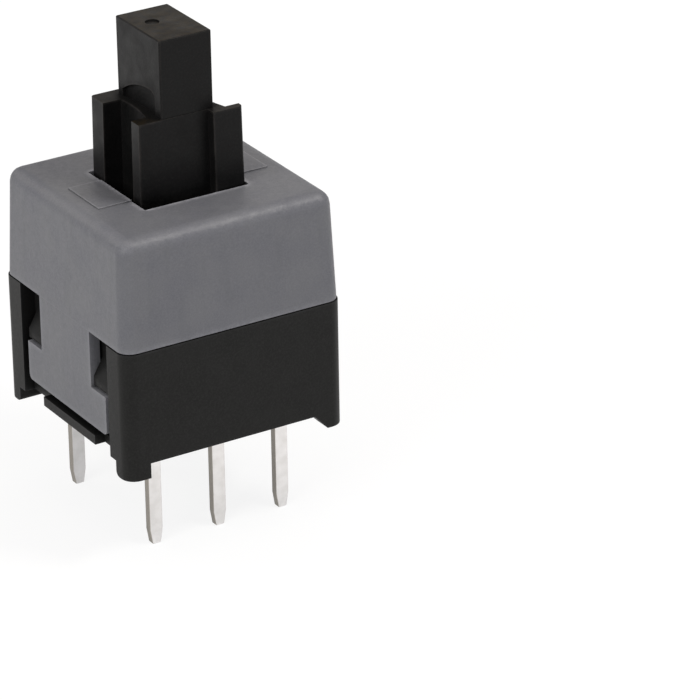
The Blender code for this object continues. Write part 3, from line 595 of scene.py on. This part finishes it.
def coil_tree(finish):
    """A compression spring of round wire, standing on the origin, its two end turns closed."""
    tree = bpy.data.node_groups.new("closed coil spring", "GeometryNodeTree")
    sizes = {
        name: tree.interface.new_socket(
            name=name, in_out="INPUT", socket_type="NodeSocketFloat"
        )
        for name in ("Wire", "Mean radius", "Height", "Turns", "Closed share")
    }
    tree.interface.new_socket(name="Geometry", in_out="OUTPUT", socket_type="NodeSocketGeometry")
    given = add(tree, "NodeGroupInput").outputs
    closed = given["Closed share"]
    half_wire = add(tree, MATH, {0: given["Wire"], 1: 0.5}, operation="MULTIPLY").outputs[0]
    top = add(tree, MATH, {0: given["Height"], 1: half_wire}, operation="SUBTRACT").outputs[0]
    one_turn = add(tree, MATH, {0: 1.0, 1: given["Turns"]}, operation="DIVIDE").outputs[0]
    last_turn = add(tree, MATH, {0: 1.0, 1: one_turn}, operation="SUBTRACT").outputs[0]
    open_share = add(tree, MATH, {0: 1.0, 1: closed}, operation="SUBTRACT").outputs[0]
    spiral = add(
        tree,
        "GeometryNodeCurveSpiral",
        {
            "Resolution": SPRING_STEPS,
            "Rotations": given["Turns"],
            "Start Radius": given["Mean radius"],
            "End Radius": given["Mean radius"],
            "Height": 1.0,
        },
    ).outputs[0]

    # The share of the height that each point has climbed, in three stretches
    position = add(tree, "GeometryNodeInputPosition").outputs[0]
    point = add(tree, SPLIT, {0: position}).outputs
    first = add(
        tree, RANGE, {"Value": point["Z"], "From Max": one_turn, "To Max": closed}
    ).outputs["Result"]
    middle = add(
        tree,
        RANGE,
        {
            "Value": point["Z"],
            "From Min": one_turn,
            "From Max": last_turn,
            "To Min": closed,
            "To Max": open_share,
        },
    ).outputs["Result"]
    last = add(
        tree, RANGE, {"Value": point["Z"], "From Min": last_turn, "To Min": open_share}
    ).outputs["Result"]

    # Each stretch holds its end value beyond its end, so the three add up to between 1 and 2
    climb = add(tree, MATH, {0: first, 1: middle}, operation="ADD").outputs[0]
    share = add(tree, MATH, {0: climb, 1: last}, operation="ADD").outputs[0]
    height = add(
        tree,
        RANGE,
        {"Value": share, "From Min": 1.0, "From Max": 2.0, "To Min": half_wire, "To Max": top},
    ).outputs["Result"]
    place = add(
        tree, "ShaderNodeCombineXYZ", {"X": point["X"], "Y": point["Y"], "Z": height}
    ).outputs[0]
    helix = add(
        tree, "GeometryNodeSetPosition", {"Geometry": spiral, "Position": place}
    ).outputs[0]
    section = add(
        tree,
        "GeometryNodeCurvePrimitiveCircle",
        {"Resolution": SPRING_SIDES, "Radius": half_wire},
    ).outputs[0]
    inputs = {"Curve": helix, "Profile Curve": section, "Fill Caps": True}
    tube = add(tree, "GeometryNodeCurveToMesh", inputs).outputs[0]
    smooth = add(tree, "GeometryNodeSetShadeSmooth", {"Geometry": tube}).outputs[0]
    real = add(tree, "GeometryNodeRealizeInstances", {"Geometry": smooth}).outputs[0]
    dressed = add(
        tree, "GeometryNodeSetMaterial", {"Geometry": real, "Material": finish}
    ).outputs[0]
    add(tree, "NodeGroupOutput", {"Geometry": dressed})
    return tree, sizes


def make_return_spring(finish):
    """The coil under the slider, in the place and to the size of its node."""
    low, high = (Vector(corner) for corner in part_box("return_spring"))
    wire = SPRING_WIRE * MM
    rest = high.z - low.z
    tree, sizes = coil_tree(finish)
    holder = bpy.data.objects.new("coil holder", bpy.data.meshes.new("coil holder"))
    bpy.context.scene.collection.objects.link(holder)
    modifier = holder.modifiers.new("coil", "NODES")
    modifier.node_group = tree
    values = {
        "Wire": wire,
        "Mean radius": (high.y - low.y - wire) / 2,
        "Height": rest,
        "Turns": float(SPRING_TURNS),
        "Closed share": SPRING_END_PITCH * wire / (rest - wire),
    }
    for name, value in values.items():
        modifier[sizes[name].identifier] = value
    evaluated = holder.evaluated_get(bpy.context.evaluated_depsgraph_get())
    mesh = bpy.data.meshes.new_from_object(evaluated)
    bpy.data.objects.remove(holder, do_unlink=True)
    mesh.transform(Matrix.Translation(((low.x + high.x) / 2, (low.y + high.y) / 2, low.z)))
    coil = bpy.data.objects.new("return_spring_coil", mesh)
    bpy.context.scene.collection.objects.link(coil)
    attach(coil, "housing")
    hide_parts("return_spring")
    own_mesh(coil)


# Stage, light and camera


def seen_directly(tree):
    """The kinds of ray, and 1 for those that see a surface directly or through glass."""
    rays = add(tree, "ShaderNodeLightPath").outputs
    through = add(
        tree,
        MATH,
        {0: rays["Is Camera Ray"], 1: rays["Is Transmission Ray"]},
        operation="MAXIMUM",
    ).outputs[0]
    return rays, through


def make_floor():
    """A flat white floor: lit paper that keeps the shadow and reads as white, clear from below."""
    mesh = bpy.data.meshes.new("floor")
    corners = [
        (side * FLOOR_REACH, end * FLOOR_REACH, 0)
        for side, end in ((-1, -1), (1, -1), (1, 1), (-1, 1))
    ]
    mesh.from_pydata(corners, [], [(0, 1, 2, 3)])
    floor = bpy.data.objects.new("floor", mesh)
    bpy.context.scene.collection.objects.link(floor)
    paper = bpy.data.materials.new("white paper")
    paper.use_nodes = True
    tree = paper.node_tree
    tree.nodes.clear()
    rays, through = seen_directly(tree)
    mirrored = add(
        tree, MATH, {0: rays["Is Glossy Ray"], 1: FLOOR_LEVEL}, operation="MULTIPLY"
    ).outputs[0]
    place = add(tree, "ShaderNodeTexCoord").outputs["Object"]
    away = add(tree, "ShaderNodeVectorMath", {0: place}, operation="LENGTH").outputs["Value"]
    paper_white = add(
        tree,
        RANGE,
        {
            "Value": away,
            "From Min": FLOOR_RISE_FROM * MM,
            "From Max": FLOOR_RISE_TO * MM,
            "To Min": FLOOR_WHITE,
            "To Max": 1.0,
        },
    ).outputs["Result"]
    shown = add(
        tree, MATH, {0: through, 1: paper_white, 2: mirrored}, operation="MULTIPLY_ADD"
    ).outputs[0]
    tone = add(
        tree,
        MIX,
        {SHARE: through, COLOUR_A: linear("#D8D8D8"), COLOUR_B: linear("#757575")},
        data_type="RGBA",
    ).outputs[COLOUR_OUT]
    lit = add(tree, "ShaderNodeBsdfDiffuse", {"Color": tone}).outputs[0]
    white = add(
        tree, "ShaderNodeEmission", {"Color": linear("#FFFFFF"), "Strength": shown}
    ).outputs[0]
    both = add(tree, "ShaderNodeAddShader", {0: lit, 1: white}).outputs[0]

    # Clear to the camera from below, so that the underside of the switch can be looked at
    behind = add(tree, "ShaderNodeNewGeometry").outputs["Backfacing"]
    beneath = add(
        tree, MATH, {0: behind, 1: rays["Is Camera Ray"]}, operation="MULTIPLY"
    ).outputs[0]
    clear = add(tree, "ShaderNodeBsdfTransparent").outputs[0]
    sided = add(tree, "ShaderNodeMixShader", {0: beneath, 1: both, 2: clear}).outputs[0]
    add(tree, "ShaderNodeOutputMaterial", {"Surface": sided})
    mesh.materials.append(paper)


def make_world():
    """A white room to the camera and through glass, dimmer where it lights the switch."""
    world = bpy.data.worlds.new("white room")
    bpy.context.scene.world = world
    world.use_nodes = True
    tree = world.node_tree
    tree.nodes.clear()
    _, through = seen_directly(tree)
    strength = add(
        tree, RANGE, {"Value": through, "To Min": WORLD_LEVEL, "To Max": 1.0}
    ).outputs["Result"]
    tone = add(
        tree,
        MIX,
        {SHARE: through, COLOUR_A: linear("#EFF4FF"), COLOUR_B: linear("#FFFFFF")},
        data_type="RGBA",
    ).outputs[COLOUR_OUT]
    sky = add(tree, "ShaderNodeBackground", {"Color": tone, "Strength": strength}).outputs[0]
    add(tree, "ShaderNodeOutputWorld", {"Surface": sky})


def area_light(name, place, width, depth, power, colour):
    """A soft box at a place in millimetres, turned towards the switch."""
    lamp = bpy.data.lights.new(name, "AREA")
    lamp.shape = "RECTANGLE"
    lamp.size = width * MM
    lamp.size_y = depth * MM
    lamp.energy = power
    lamp.color = linear(colour)[:3]
    obj = bpy.data.objects.new(name, lamp)
    obj.location = Vector(place) * MM
    obj.rotation_mode = "QUATERNION"
    obj.rotation_quaternion = (Vector(LAMP_AIM) - Vector(place)).to_track_quat("-Z", "Y")
    bpy.context.scene.collection.objects.link(obj)


def make_camera():
    """The camera at the photograph's place, angle and focal length, with no shift."""
    azimuth, elevation, roll = (
        math.radians(angle) for angle in (VIEW_AZIMUTH, VIEW_ELEVATION, VIEW_ROLL)
    )
    back = Vector(
        (
            math.sin(azimuth) * math.cos(elevation),
            -math.cos(azimuth) * math.cos(elevation),
            math.sin(elevation),
        )
    )
    right = Vector((math.cos(azimuth), math.sin(azimuth), 0.0))
    up = back.cross(right)
    right, up = (
        right * math.cos(roll) + up * math.sin(roll),
        up * math.cos(roll) - right * math.sin(roll),
    )
    turn = Matrix((right, up, back)).transposed()
    place = Vector(VIEW_PIVOT) - turn @ Vector(VIEW_OFFSET)
    camera = bpy.data.cameras.new("camera")
    camera.sensor_width = SENSOR_WIDTH
    camera.lens = FOCAL_PIXELS / FRAME_PIXELS * SENSOR_WIDTH
    camera.clip_start = CLIP_NEAR
    camera.clip_end = CLIP_FAR
    obj = bpy.data.objects.new("camera", camera)
    obj.matrix_world = Matrix.Translation(place * MM) @ turn.to_4x4()
    bpy.context.scene.collection.objects.link(obj)
    bpy.context.scene.camera = obj


terminals = [name for name in nodes if name.startswith("terminal_")]
strips = ["moving_contact_front", "moving_contact_rear", "latch_spring"]
dress(["cover"], grey_pbt(), COVER_ROUND)
dress(["base"], black_pbt(), BASE_ROUND)
dress(["plunger"], black_acetal(), PLUNGER_ROUND)
dress(terminals, tinned_brass(), TERMINAL_ROUND)
dress(strips, phosphor_bronze(), STRIP_ROUND)
steel = drawn_steel()
dress(["latch_pin"], steel, WIRE_ROUND)
make_return_spring(steel)

bpy.context.scene.view_settings.view_transform = "Standard"
make_floor()
make_world()
for lamp in LAMPS:
    area_light(*lamp)
make_camera()
